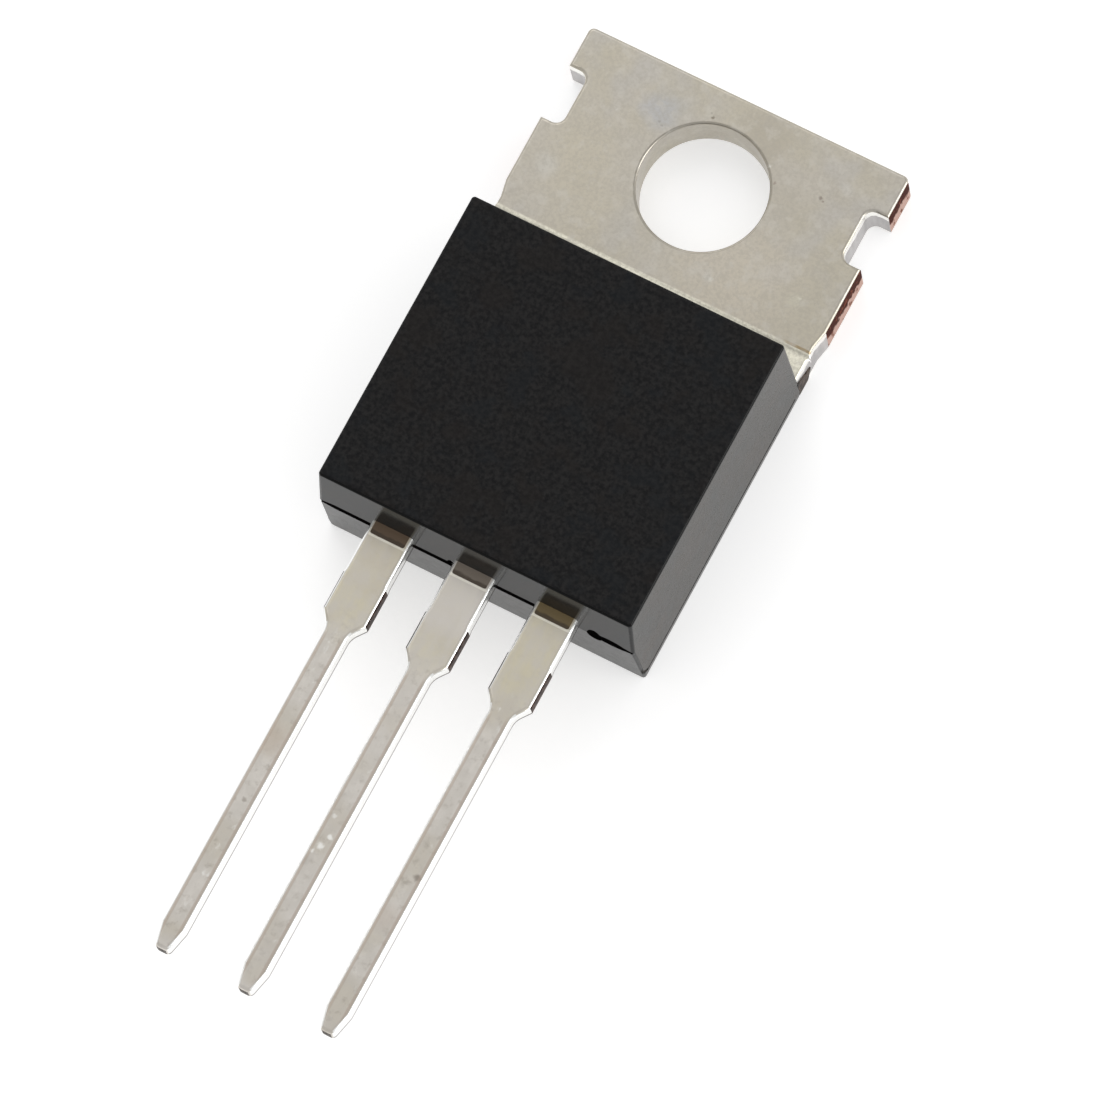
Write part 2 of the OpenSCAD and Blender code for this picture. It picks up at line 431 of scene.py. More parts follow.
def addHeatTab():
    plate = addBlock("heatTabPlate", (-tab["halfWidth"], tab["neckEnd"], 0),
                     (tab["halfWidth"], tab["freeEdge"], tab["thickness"]))
    startEdit(plate)
    cutAcross(plate, (0, tab["neckStart"], 0), (0, 1, 0))
    cutAcross(plate, (0, tab["neckStart"] - tab["neckSlope"], 0), (0, 1, 0))
    pick(plate, "VERT", lambda at: at.y < tab["neckStart"] - tab["neckSlope"] + flush)
    widen(tab["neckHalf"] / tab["halfWidth"])
    endEdit()
    header = addBlock("headerTool", (-tab["headerHalf"], tab["headerEnd"], 0),
                      (tab["headerHalf"], tab["neckEnd"] + tab["headerOverlap"], tab["thickness"]))
    carve(plate, header, "UNION")
    startEdit(plate)
    joinFlats()
    cutAcross(plate, (0, tab["roundEnd"], 0), (0, 1, 0))
    cutAcross(plate, (0, tab["bandEdge"], 0), (0, 1, 0))
    cutAcross(plate, (0, tab["bandEdge"] - tab["bandStep"], 0), (0, 1, 0))
    pick(plate, "VERT", lambda at: at.z > tab["thickness"] / 2
         and at.y < tab["bandEdge"] - tab["bandStep"] + flush)
    shove(z=-tab["bandDrop"])
    roundEdges(plate, tab["cornerRound"], 8, lambda at, along, edge: upright(along)
               and same(at.y, tab["freeEdge"]))
    endEdit()
    cutNotches(plate)
    carve(plate, addRod("holeTool", tab["holeRadius"], -tab["toolOver"],
                        tab["thickness"] + tab["toolOver"], tab["holeSides"]))
    startEdit(plate)
    addJoggle(plate)

    def atHole(at):
        return math.hypot(at.x, at.y) < tab["holeRadius"] + tab["holeRound"]

    roundEdges(plate, tab["frontRound"], 4, lambda at, along, edge: abs(along.z) < 0.1
               and tab["thickness"] - tab["bandDrop"] - flush < at.z < tab["thickness"] + flush
               and isCorner(edge) and at.y > tab["roundEnd"] + flush and not atHole(at))
    roundEdges(plate, tab["holeRound"], 4, lambda at, along, edge: same(at.z, tab["thickness"])
               and isCorner(edge) and atHole(at))
    roundEdges(plate, tab["backRound"], 3, lambda at, along, edge: same(at.z, 0)
               and level(along) and isCorner(edge) and at.y > tab["roundEnd"] + flush)
    endEdit()
    outer = copyOf(leadBlank, "anodeLeadOuter")
    startEdit(outer)
    runInside(outer, tab["leadOverlap"])
    roundRims(outer, exitY + tab["leadOverlap"])
    endEdit()
    carve(plate, outer, "UNION")
    plate.name = plate.data.name = "heatTabAndAnodeLead"
    finishShape(plate)
    return plate


heatTab = addHeatTab()
print("heat tab modelled:", len(heatTab.data.polygons), "faces")

# The moulded case.

case = {
    "halfWidth": 4.95,
    "sideLean": 0.13,
    "backSideLean": 0.02,
    "sideParting": 0.35,
    "frontStart": -3.8,
    "tabEndLean": 0.08,
    "frontEndLean": 0.26,
    "backEndLean": 0.1,
    "cornerRound": 0.1,
    "frontRound": 0.1,
    "backRound": 0.13,
    "footLength": 0.68,
    "footHeight": 0.95,
    "footDrop": 0.42,
    "footUndercut": 0.22,
    "footInset": 0.006,
    "footOverlap": 0.06,
    "footRound": 0.05,
    "grooveRadius": 0.2,
    "grooveDepth": 0.1,
    "grooveAcross": (0.5, 2.0, 4.4),
    "grooveClosed": (2.9, 3.1, 3.4, 3.6),  # the mould closed well here, beside the large void
    "grooveClosedOut": 0.3,
    "grooveCorner": ((4.8, 0.5), 0.5),  # where it narrows, how far out, and its share of the size
    "grooveDown": (2.5, 1.94, 1.3, 0.67),  # heights on the corner
    "grooveThin": 0.3,  # share of the size down the corners and along the sides
    "grooveShort": 0.3,  # it stops this far from the ends of a side
    "voids": [  # place on the lead end, half width and half height
        ((3.66, 2.56), (0.23, 0.36)),
        ((4.12, 2.59), (0.56, 0.22)),
        ((-0.76, 2.64), (0.13, 0.26)),
    ],
    "voidDepth": 0.18,
    "flashLength": 0.29,
    "flashHeight": 0.012,
    "flashOver": 0.01,  # runs onto the left rim of the root
    "flashSink": 0.1,
    "flashRound": 0.06,
    "roomMerge": 0.0002,
}
inside = {  # what the case holds, and its finish
    "thyristor_chip": "polishedSilicon",
    "chip_solder": "dullSolder",
    "outer_cathode_wire": "drawnAluminium",
    "inner_cathode_wire": "drawnAluminium",
    "gate_wire": "drawnAluminium",
}
case["height"] = caseHigh.z
case["tabEnd"] = case["frontStart"] + case["tabEndLean"]


def halfWidthAt(z):  # half the width of the case at a height
    if z <= case["sideParting"]:
        return case["halfWidth"] - case["backSideLean"] * (1 - z / case["sideParting"])
    share = (z - case["sideParting"]) / (case["height"] - case["sideParting"])
    return case["halfWidth"] - case["sideLean"] * share


def leadEndAt(z):  # where the lead end of the case stands at a height
    if z <= leadUnder:
        return exitY + case["backEndLean"] * (1 - z / leadUnder)
    return exitY + case["frontEndLean"] * (z - leadUnder) / (case["height"] - leadUnder)


def tabEndAt(z):
    if z <= tab["thickness"]:
        return case["tabEnd"]
    share = (z - tab["thickness"]) / (case["height"] - tab["thickness"])
    return case["tabEnd"] - case["tabEndLean"] * share


def addShell():
    shell = addBlock("caseShell", (-case["halfWidth"], exitY, 0),
                     (case["halfWidth"], case["tabEnd"], case["height"]))
    levels = [0, case["sideParting"], tab["thickness"], leadUnder, case["height"]]
    middle = (exitY + case["tabEnd"]) / 2
    startEdit(shell)
    for z in levels[1:-1]:
        cutAcross(shell, (0, 0, z), (0, 0, 1))
    for z in levels:  # lean the walls, one level at a time
        pick(shell, "VERT", lambda at: same(at.z, z))
        widen(halfWidthAt(z) / case["halfWidth"])
        pick(shell, "VERT", lambda at: same(at.z, z) and at.y < middle)
        shove(y=leadEndAt(z) - exitY)
        pick(shell, "VERT", lambda at: same(at.z, z) and at.y > middle)
        shove(y=tabEndAt(z) - case["tabEnd"])
    roundEdges(shell, case["cornerRound"], 8, lambda at, along, edge: abs(along.z) > 0.9
               and isCorner(edge))
    roundEdges(shell, case["frontRound"], 3, lambda at, along, edge: same(at.z, case["height"])
               and isCorner(edge))
    sharp = case["tabEnd"] - case["cornerRound"] / 10  # the back edge stays sharp over the tab
    roundEdges(shell, case["backRound"], 2, lambda at, along, edge: same(at.z, 0)
               and isCorner(edge) and at.y < sharp)
    endEdit()
    return shell


def addFeet(shell):  # a low wedge of compound that ran out along each side of the neck
    reach, high = case["halfWidth"] - case["footInset"], case["footHeight"]
    foot = addBlock("footTool", (-reach, case["tabEnd"] - case["footOverlap"], case["footInset"]),
                    (reach, case["tabEnd"] + case["footLength"], high))
    startEdit(foot)
    pick(foot, "VERT", lambda at: at.y > case["tabEnd"] and at.z > high / 2)
    shove(z=-case["footDrop"])
    pick(foot, "VERT", lambda at: at.y > case["tabEnd"] and same(at.z, case["footInset"]))
    shove(y=-case["footUndercut"])
    roundEdges(foot, case["footRound"], 3, lambda at, along, edge: at.y > case["tabEnd"])
    endEdit()
    carve(shell, foot, "UNION")


def cornerAt(z, out):  # a point on the upright corner, moved outwards
    corner, slant = case["cornerRound"], math.sqrt(0.5)
    return (halfWidthAt(z) - corner + (corner + out) * slant,
            leadEndAt(z) + corner - (corner + out) * slant, z)


def addPartingLine(shell):  # a shallow groove: straight across the end, thin down the corners
    radius, thin, short = case["grooveRadius"], case["grooveThin"], case["grooveShort"]
    out = radius - case["grooveDepth"]
    end = exitY - out
    along = [((x, end, leadUnder), 1.0) for x in case["grooveAcross"]]
    (x, share), size = case["grooveCorner"]
    along.append(((x, exitY - out * share, leadUnder), size))
    for z in case["grooveDown"]:
        along.append((cornerAt(z, out * thin), thin))
    for y in (exitY + short, case["tabEnd"] - short):
        along.append(((case["halfWidth"] + out * thin, y, case["sideParting"]), thin))
    points = [((-x, y, z), size) for (x, y, z), size in reversed(along)] + along
    away = (0, case["grooveClosedOut"], case["grooveClosedOut"], 0)  # steps clear of the wall
    right = points.index(along[1]) + 1
    points[right:right] = [((x, end - step, leadUnder), 1.0)
                           for x, step in zip(case["grooveClosed"], away)]
    data = bpy.data.curves.new("partingLine", "CURVE")
    data.dimensions = "3D"
    data.bevel_depth, data.bevel_resolution = radius, 4
    data.use_fill_caps = True
    line = data.splines.new("POLY")
    line.points.add(len(points) - 1)
    for point, (place, size) in zip(line.points, points):
        point.co, point.radius = (*place, 1), size
    tool = bpy.data.objects.new("partingTool", data)
    bpy.context.scene.collection.objects.link(tool)
    makeActive(tool)
    bpy.ops.object.convert(target="MESH")
    carve(shell, bpy.context.object)


def addVoids(shell):  # small pits where the compound didn't fill the end of the mould
    for (x, z), (wide, tall) in case["voids"]:
        deselectAll()
        bpy.ops.mesh.primitive_uv_sphere_add(segments=24, ring_count=12, radius=1,
                                             location=(x, exitY, z))
        pit = bpy.context.object
        pit.scale = (wide, case["voidDepth"], tall)
        applyPlace()
        carve(shell, pit)


def addFlash(shell, centre):  # resin that crept out over the top of a lead's root
    half, sink = lead["rootWidth"] / 2 - lead["topRound"], case["flashSink"]
    patch = addBlock("flashTool", (centre - half - case["flashOver"], exitY - case["flashLength"],
                                   leadTop - sink),
                     (centre + half, exitY + sink, leadTop + case["flashHeight"]))
    startEdit(patch)
    roundEdges(patch, case["flashRound"], 4, lambda at, along, edge: upright(along)
               and at.y < exitY)
    endEdit()
    carve(shell, patch, "UNION")


def addRooms(shell):  # room in the compound for the chip, its solder and the bond wires
    for node in inside:
        room = copyOf(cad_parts[node], node + "Room")
        room.parent = None
        room.scale = (1 / mm,) * 3
        makeActive(room)
        applyPlace()
        startEdit(room)
        bpy.ops.mesh.select_all(action="SELECT")
        bpy.ops.mesh.remove_doubles(threshold=case["roomMerge"])
        endEdit()
        carve(shell, room)


def addCase():
    shell = addShell()
    addFeet(shell)
    addPartingLine(shell)
    addVoids(shell)
    for centre in leadCentres:
        addFlash(shell, centre)
    for tool in (heatTab, cathodeLead, gateLead):
        carve(shell, tool, keep=True)
    addRooms(shell)
    shell.name = shell.data.name = "mouldedCase"
    finishShape(shell, 30)
    return shell


mouldedCase = addCase()
print("case modelled:", len(mouldedCase.data.polygons), "faces")

# Small tools for finishes.

def newFinish(name, colour, roughness, metallic=0.0, specular=0.5):
    finish = bpy.data.materials.new(name)
    finish.use_nodes = True
    shader = finish.node_tree.nodes["Principled BSDF"]
    shader.inputs["Base Color"].default_value = (*colour, 1)
    shader.inputs["Roughness"].default_value = roughness
    shader.inputs["Metallic"].default_value = metallic
    shader.inputs["Specular IOR Level"].default_value = specular
    return finish.node_tree, shader, finish


def give(tree, socket, value):  # links an output, or sets a plain value
    if isinstance(value, bpy.types.NodeSocket):
        tree.links.new(value, socket)
    elif isinstance(value, (tuple, list)) and socket.type == "RGBA":
        socket.default_value = (*value, 1)
    else:
        socket.default_value = value


def where(tree, stretch=(1, 1, 1), shift=(0, 0, 0)):  # place on the piece, in millimetres
    coords = tree.nodes.new("ShaderNodeTexCoord")
    mapping = tree.nodes.new("ShaderNodeMapping")
    mapping.inputs["Scale"].default_value = [value / mm for value in stretch]
    mapping.inputs["Location"].default_value = shift
    tree.links.new(coords.outputs["Object"], mapping.inputs["Vector"])
    return mapping.outputs["Vector"]


def noiseNode(tree, spot, size, detail=3.0, roughness=0.5, distortion=0.0):
    noise = tree.nodes.new("ShaderNodeTexNoise")
    tree.links.new(spot, noise.inputs["Vector"])
    noise.inputs["Scale"].default_value = 1 / size
    noise.inputs["Detail"].default_value = detail
    noise.inputs["Roughness"].default_value = roughness
    noise.inputs["Distortion"].default_value = distortion
    return noise


def cloudy(tree, *values):  # a grey cloud of a size in millimetres
    return noiseNode(tree, *values).outputs["Fac"]


def between(tree, value, low, high, toLow=0.0, toHigh=1.0):  # a clamped step from low to high
    node = tree.nodes.new("ShaderNodeMapRange")
    node.interpolation_type = "SMOOTHSTEP"
    for name, part in (("Value", value), ("From Min", low), ("From Max", high),
                       ("To Min", toLow), ("To Max", toHigh)):
        give(tree, node.inputs[name], part)
    return node.outputs["Result"]


def work(tree, operation, first, second=0.0):
    node = tree.nodes.new("ShaderNodeMath")
    node.operation = operation
    give(tree, node.inputs[0], first)
    give(tree, node.inputs[1], second)
    return node.outputs["Value"]


def times(tree, first, second):
    return work(tree, "MULTIPLY", first, second)


def mixed(tree, share, first, second):
    node = tree.nodes.new("ShaderNodeMix")
    node.data_type = "RGBA"
    give(tree, node.inputs[0], share)
    give(tree, node.inputs[6], first)
    give(tree, node.inputs[7], second)
    return node.outputs[2]


def clouded(tree, colour, tone, cloud, low, high, share):  # lays a tone on in clouds
    return mixed(tree, between(tree, cloud, low, high, 0.0, share), colour, tone)


def part(tree, spot, axis):
    node = tree.nodes.new("ShaderNodeSeparateXYZ")
    tree.links.new(spot, node.inputs[0])
    return node.outputs[axis]


def vectorWork(tree, operation, spot, values):
    node = tree.nodes.new("ShaderNodeVectorMath")
    node.operation = operation
    tree.links.new(spot, node.inputs[0])
    node.inputs[1].default_value = values
    return node


def near(tree, spot, centre, inner, outer):  # 1 close to a point, 0 away from it
    distance = vectorWork(tree, "DISTANCE", spot, centre).outputs["Value"]
    return between(tree, distance, inner, outer, 1.0, 0.0)


def marked(tree, spot, colour, marks):  # lays a list of marks on a colour
    for place, inner, outer, tone, strength in marks:
        share = times(tree, near(tree, spot, place, inner, outer), strength)
        colour = mixed(tree, share, colour, tone)
    return colour


def wobbled(tree, spot, size, amount):  # moves the place about, for marks with ragged outlines
    noise = noiseNode(tree, spot, size)
    moved = vectorWork(tree, "MULTIPLY_ADD", noise.outputs["Color"], (2 * amount,) * 3)
    start = vectorWork(tree, "ADD", spot, (-amount,) * 3)
    tree.links.new(start.outputs["Vector"], moved.inputs[2])
    return moved.outputs["Vector"]


def flatDistance(tree, spot):  # distance from the Z axis
    flat = vectorWork(tree, "MULTIPLY", spot, (1, 1, 0)).outputs["Vector"]
    return vectorWork(tree, "LENGTH", flat, (0, 0, 0)).outputs["Value"]


def ring(tree, value, inner, outer, soft):  # 1 between two values, 0 away from them
    return times(tree, between(tree, value, inner - soft, inner),
                 between(tree, value, outer, outer + soft, 1.0, 0.0))


def raggedHeight(tree, noise, amount):
    return work(tree, "ADD", part(tree, where(tree), "Z"), times(tree, noise, amount))


def relief(tree, shader, height, depth):  # depth in millimetres
    node = tree.nodes.new("ShaderNodeBump")
    node.inputs["Strength"].default_value = 1.0
    node.inputs["Distance"].default_value = depth * mm
    tree.links.new(height, node.inputs["Height"])
    tree.links.new(node.outputs["Normal"], shader.inputs["Normal"])


# Finishes.

tin = {
    "base": (0.537, 0.500, 0.435),
    "yellow": (0.521, 0.480, 0.389),
    "grey": (0.512, 0.488, 0.451),
    "grain": (0.42, 0.39, 0.335),
    "cloud": (0.6, 0.57, 0.51),
    # painted shade: a dark ring where the hole's rounded rim begins
    "holeRimShade": (0.22, 0.2, 0.16),
    # painted highlight: the pressed band is laid near white, for the bright line along its step
    "pressed": (0.96, 0.93, 0.78),
    "stain": (0.36, 0.28, 0.17),  # on the right end of the pressed edge
    "stainFrom": 4.0,
    "roughness": 0.36,
    "patches": [  # place, inner and outer reach, colour, strength
        ((-2.0, 1.47, 1.3), 0.2, 0.85, (0.47, 0.475, 0.49), 0.7),
        ((-2.5, 1.5, 1.3), 0.05, 0.5, (0.5, 0.5, 0.52), 0.5),
        ((0.9, 2.1, 1.3), 0.3, 1.2, (0.44, 0.4, 0.33), 0.5),
        ((2.2, 0.3, 1.3), 0.3, 1.4, (0.5, 0.46, 0.38), 0.5),
        ((-3.4, -0.6, 1.3), 0.3, 1.6, (0.55, 0.505, 0.41), 0.75),
        ((-2.9, -2.1, 1.3), 0.5, 1.8, (0.55, 0.505, 0.41), 0.7),
        ((1.9, -2.0, 1.3), 0.7, 2.6, (0.605, 0.55, 0.465), 0.55),
        ((-4.21, -1.37, 1.3), 0.05, 0.5, (0.6, 0.58, 0.53), 0.6),
        ((-4.70, -2.45, 1.3), 0.02, 0.3, (0.36, 0.33, 0.28), 0.5),
        ((3.6, 1.77, 1.3), 0.05, 0.35, (0.6, 0.58, 0.54), 0.5),
        ((1.35, -2.2, 1.3), 0.03, 0.3, (0.61, 0.59, 0.54), 0.6),
        ((3.85, -1.75, 1.3), 0.04, 0.33, (0.6, 0.57, 0.47), 0.6),
        ((3.3, 0.2, 1.3), 0.02, 0.2, (0.6, 0.57, 0.5), 0.5),
        ((-0.4, -2.1, 1.3), 0.03, 0.25, (0.59, 0.57, 0.51), 0.45),
    ],
    "spots": [
        ((3.06, 1.17, 1.3), 0.02, 0.08, (0.17, 0.12, 0.10), 0.8),
        ((3.16, 1.12, 1.3), 0.01, 0.05, (0.22, 0.16, 0.14), 0.7),
        ((1.45, -2.26, 1.3), 0.02, 0.1, (0.68, 0.66, 0.6), 0.6),
        ((3.9, -1.66, 1.3), 0.02, 0.08, (0.7, 0.68, 0.58), 0.6),
        ((-0.78, 2.02, 1.3), 0.01, 0.06, (0.2, 0.17, 0.13), 0.7),
        ((-0.7, 1.92, 1.3), 0.02, 0.07, (0.18, 0.15, 0.11), 0.8),
        ((-1.98, 1.16, 1.3), 0.01, 0.05, (0.3, 0.28, 0.25), 0.6),
        ((-1.86, 1.08, 1.3), 0.01, 0.05, (0.28, 0.26, 0.23), 0.6),
        ((1.36, 1.36, 1.3), 0.02, 0.07, (0.9, 0.88, 0.83), 0.7),
        ((1.72, 1.0, 1.3), 0.02, 0.06, (0.33, 0.26, 0.22), 0.7),
        ((-3.2, 0.95, 1.3), 0.01, 0.05, (0.7, 0.68, 0.63), 0.6),
    ],
}


def platedTab():
    tree, shader, finish = newFinish("platedTab", tin["base"], tin["roughness"], 1.0)
    spot = where(tree)
    x, y = part(tree, spot, "X"), part(tree, spot, "Y")
    crown, band = tab["holeRadius"] + tab["holeRound"], tab["bandEdge"]
    # painted shade: a thin dark ring laid where the hole's rounded rim begins
    paintedEdgeShading = ring(tree, flatDistance(tree, spot), crown - 0.02, crown, 0.02)
    # painted highlight: the pressed band near the case is laid near white
    pressed = between(tree, y, band - 0.04, band + 0.03, 1.0, 0.0)
    stain = times(tree, ring(tree, y, band - 0.01, band + 0.04, 0.03),
                  between(tree, x, tin["stainFrom"], tin["stainFrom"] + 0.25))
    yellow = cloudy(tree, spot, 3.2, 4, 0.55, 0.4)
    grey = cloudy(tree, where(tree, shift=(7, 3, 0)), 1.6, 4)
    pale = cloudy(tree, where(tree, shift=(1, 6, 0)), 0.35, 4, 0.6)
    colour = clouded(tree, tin["base"], tin["yellow"], yellow, 0.38, 0.62, 0.8)
    colour = clouded(tree, colour, tin["grey"], grey, 0.5, 0.68, 0.7)
    colour = marked(tree, wobbled(tree, spot, 0.5, 0.25), colour, tin["patches"])
    colour = marked(tree, wobbled(tree, spot, 0.08, 0.05), colour, tin["spots"])
    colour = mixed(tree, times(tree, paintedEdgeShading, 0.55), colour, tin["holeRimShade"])
    colour = mixed(tree, times(tree, pressed, 0.85), colour, tin["pressed"])
    colour = mixed(tree, stain, colour, tin["stain"])
    colour = clouded(tree, colour, tin["grain"], cloudy(tree, spot, 0.09, 4, 0.6), 0.38, 0.65, 0.42)
    colour = clouded(tree, colour, tin["cloud"], pale, 0.5, 0.68, 0.42)
    give(tree, shader.inputs["Base Color"], colour)
    give(tree, shader.inputs["Roughness"],
         between(tree, cloudy(tree, spot, 0.8, 5), 0.3, 0.7, tin["roughness"] - 0.04,
                 tin["roughness"] + 0.05))
    relief(tree, shader, cloudy(tree, spot, 0.25, 3), 0.0012)
    return finish


tabWall = {  # a punched side: burnished near the front, dull and streaked below
    "burnished": (0.98, 0.97, 0.92),
    "dull": ((0.42, 0.405, 0.4), (0.53, 0.515, 0.51)),
    "burnishedFrom": 1.08,
}


def shearedWall():
    tree, shader, finish = newFinish("shearedWall", tabWall["burnished"], 0.3, 1.0)
    streak = cloudy(tree, where(tree, (1, 1, 0.2)), 0.3, 3)
    height, low = raggedHeight(tree, streak, 0.3), tabWall["burnishedFrom"]
    share = between(tree, height, low, low + 0.12)
    dull = mixed(tree, between(tree, streak, 0.3, 0.7), *tabWall["dull"])
    give(tree, shader.inputs["Base Color"], mixed(tree, share, dull, tabWall["burnished"]))
    give(tree, shader.inputs["Roughness"], between(tree, share, 0.0, 1.0, 0.4, 0.16))
    relief(tree, shader, streak, 0.0015)
    return finish


leadPlate = {
    "narrow": (0.74, 0.7, 0.645),
    "root": (0.65, 0.6, 0.465),
    "streak": (0.575, 0.545, 0.505),
    "cloud": (0.57, 0.52, 0.43),
    "scuff": (0.36, 0.32, 0.27),
    "rub": (0.93, 0.92, 0.88),
    "mottle": (0.6, 0.565, 0.515),
    "middleLead": (0.67, 0.635, 0.595),  # the middle lead is greyer and paler
    "worn": (0.5, 0.42, 0.35),  # the plating is thin where the rims start
    # painted highlight: a pale line on the lead where the resin ends
    "resinEdgeHighlight": (0.98, 0.95, 0.84),
    "roughness": 0.34,
    "marks": [  # place, inner and outer reach, colour, strength
        ((-2.7, -19.55, 3.08), 0.1, 0.75, (0.58, 0.5, 0.42), 0.6),
        ((-2.52, -21.36, 3.08), 0.03, 0.1, (0.3, 0.26, 0.22), 0.6),
        # scratches on the middle lead, laid near white as painted glints
        ((0.06, -21.23, 3.08), 0.03, 0.11, (0.95, 0.94, 0.9), 0.9),
        ((-0.06, -21.56, 3.08), 0.04, 0.13, (0.95, 0.94, 0.9), 0.9),
        ((-0.2, -21.76, 3.08), 0.02, 0.08, (0.95, 0.94, 0.9), 0.8),
        ((-0.11, -20.65, 3.08), 0.02, 0.09, (0.9, 0.88, 0.84), 0.7),
        ((-0.33, -22.1, 3.08), 0.04, 0.25, (0.42, 0.4, 0.37), 0.6),
        ((2.72, -21.16, 3.08), 0.03, 0.16, (0.24, 0.2, 0.17), 0.7),
        ((2.45, -22.5, 3.08), 0.1, 0.6, (0.58, 0.5, 0.43), 0.4),
    ],
}


def acrossLead(tree, x):  # distance from the middle line of the nearest lead
    number = work(tree, "ROUND", work(tree, "DIVIDE", x, lead["pitch"]))
    middle = times(tree, number, lead["pitch"])
    return work(tree, "ABSOLUTE", work(tree, "SUBTRACT", x, middle))


def platedLead():
    tree, shader, finish = newFinish("platedLead", leadPlate["narrow"], leadPlate["roughness"], 1.0)
    spot = where(tree)
    x, y = part(tree, spot, "X"), part(tree, spot, "Y")
    atRoot = [shoulderEnd - 0.2, shoulderEnd + 0.8]
    streak = cloudy(tree, where(tree, (1, 0.2, 1)), 0.3, 4)
    scratched = cloudy(tree, where(tree, shift=(3, 5, 0)), 0.28, 5, 0.65)
    rubbed = cloudy(tree, where(tree, (1, 0.6, 1), (9, 2, 0)), 0.3, 4, 0.6)
    mottle = cloudy(tree, where(tree, shift=(2, 4, 6)), 0.4, 4, 0.6)
    scuff = times(tree, between(tree, scratched, 0.5, 0.72), between(tree, y, *atRoot, 0.55, 0.1))
    rub = times(tree, between(tree, rubbed, 0.62, 0.74), between(tree, y, *atRoot, 0.6, 0.1))
    cool = times(tree, ring(tree, x, -1.2, 1.2, 0.1),
                 between(tree, y, shoulderEnd + 0.8, shoulderEnd + 1.6, 0.15, 0.7))
    rim = lead["width"] / 2 - lead["topRound"]
    worn = times(tree, ring(tree, acrossLead(tree, x), rim - 0.02, rim + 0.03, 0.03),
                 between(tree, y, shoulderEnd - 0.4, shoulderEnd, 0.6, 0.0))
    resinEnd = exitY - case["flashLength"]
    # painted highlight: a thin pale line across the lead at the end of the resin
    paintedEdgeShading = times(tree, ring(tree, y, resinEnd - 0.05, resinEnd, 0.03), 0.6)
    colour = mixed(tree, between(tree, y, shoulderEnd - 1, shoulderEnd + 1), leadPlate["narrow"],
                   leadPlate["root"])
    colour = clouded(tree, colour, leadPlate["streak"], streak, 0.35, 0.65, 0.5)
    colour = clouded(tree, colour, leadPlate["cloud"], cloudy(tree, spot, 1.3, 3), 0.42, 0.62, 0.55)
    colour = mixed(tree, scuff, colour, leadPlate["scuff"])
    colour = mixed(tree, rub, colour, leadPlate["rub"])
    colour = clouded(tree, colour, leadPlate["mottle"], mottle, 0.4, 0.62, 0.45)
    colour = mixed(tree, cool, colour, leadPlate["middleLead"])
    colour = marked(tree, wobbled(tree, spot, 0.1, 0.07), colour, leadPlate["marks"])
    colour = mixed(tree, worn, colour, leadPlate["worn"])
    colour = mixed(tree, paintedEdgeShading, colour, leadPlate["resinEdgeHighlight"])
    give(tree, shader.inputs["Base Color"], colour)
    give(tree, shader.inputs["Roughness"], between(tree, streak, 0.3, 0.7, 0.3, 0.4))
    relief(tree, shader, cloudy(tree, spot, 0.18, 3), 0.0015)
    return finish


leadSide = {  # burnished by the punch and laid near white, partly a painted highlight; torn and dull along the lower edge and laid dark there, partly painted shade
    "bright": ((0.98, 0.98, 0.96), (0.8, 0.78, 0.74)),
    "tornEdgeShade": (0.2, 0.185, 0.175),
    "tornEdgeShadeHeight": 0.13,
}


def burnishedSheenSide():
    # painted highlight: the sides are laid near white; painted shade: a dark band along their lower
    # edge
    tree, shader, finish = newFinish("burnishedSheenSide", leadSide["bright"][0], 0.2, 1.0)
    streak = cloudy(tree, where(tree, (1, 0.15, 1)), 0.12, 4)
    colour = clouded(tree, *leadSide["bright"], streak, 0.5, 0.8, 0.4)
    height, top = raggedHeight(tree, streak, 0.04), leadUnder + leadSide["tornEdgeShadeHeight"]
    tornEdgeShade = between(tree, height, top, top + 0.05, 1.0, 0.0)
    give(tree, shader.inputs["Base Color"], mixed(tree, tornEdgeShade, colour, leadSide["tornEdgeShade"]))
    give(tree, shader.inputs["Roughness"], between(tree, streak, 0.3, 0.7, 0.16, 0.26))
    return finish


copper = {  # bare copper: dark and oxidised above, pinkish below, blotched
    "low": ((0.58, 0.39, 0.33), (0.2, 0.08, 0.05)),
    "high": ((0.055, 0.012, 0.006), (0.2, 0.06, 0.035)),
    "highFrom": 0.98,
    "stubLow": (0.3, 0.22, 0.18),
    "stubHigh": ((0.02, 0.01, 0.008), (0.1, 0.06, 0.045)),
    "stubHighFrom": 0.08,  # above the underside of the lead
    "tip": ((0.05, 0.04, 0.035), (0.2, 0.175, 0.155)),
}


def cutCopper():
    tree, shader, finish = newFinish("cutCopper", copper["low"][0], 0.6, 0.0, 0.03)
    ragged = cloudy(tree, where(tree, (1, 1, 0.35)), 0.16, 4, 0.6)
    height, start = raggedHeight(tree, ragged, 0.9), copper["highFrom"]
    lowBlots = cloudy(tree, where(tree, (1, 1, 0.6), (4, 1, 2)), 0.2, 4)
    highBlots = cloudy(tree, where(tree, (1, 1, 0.6), (2, 8, 1)), 0.18, 4)
    low = mixed(tree, between(tree, lowBlots, 0.55, 0.66), *copper["low"])
    high = mixed(tree, between(tree, highBlots, 0.55, 0.68), *copper["high"])
    share = between(tree, height, start, start + 0.14)
    give(tree, shader.inputs["Base Color"], mixed(tree, share, low, high))
    relief(tree, shader, ragged, 0.015)
    return finish


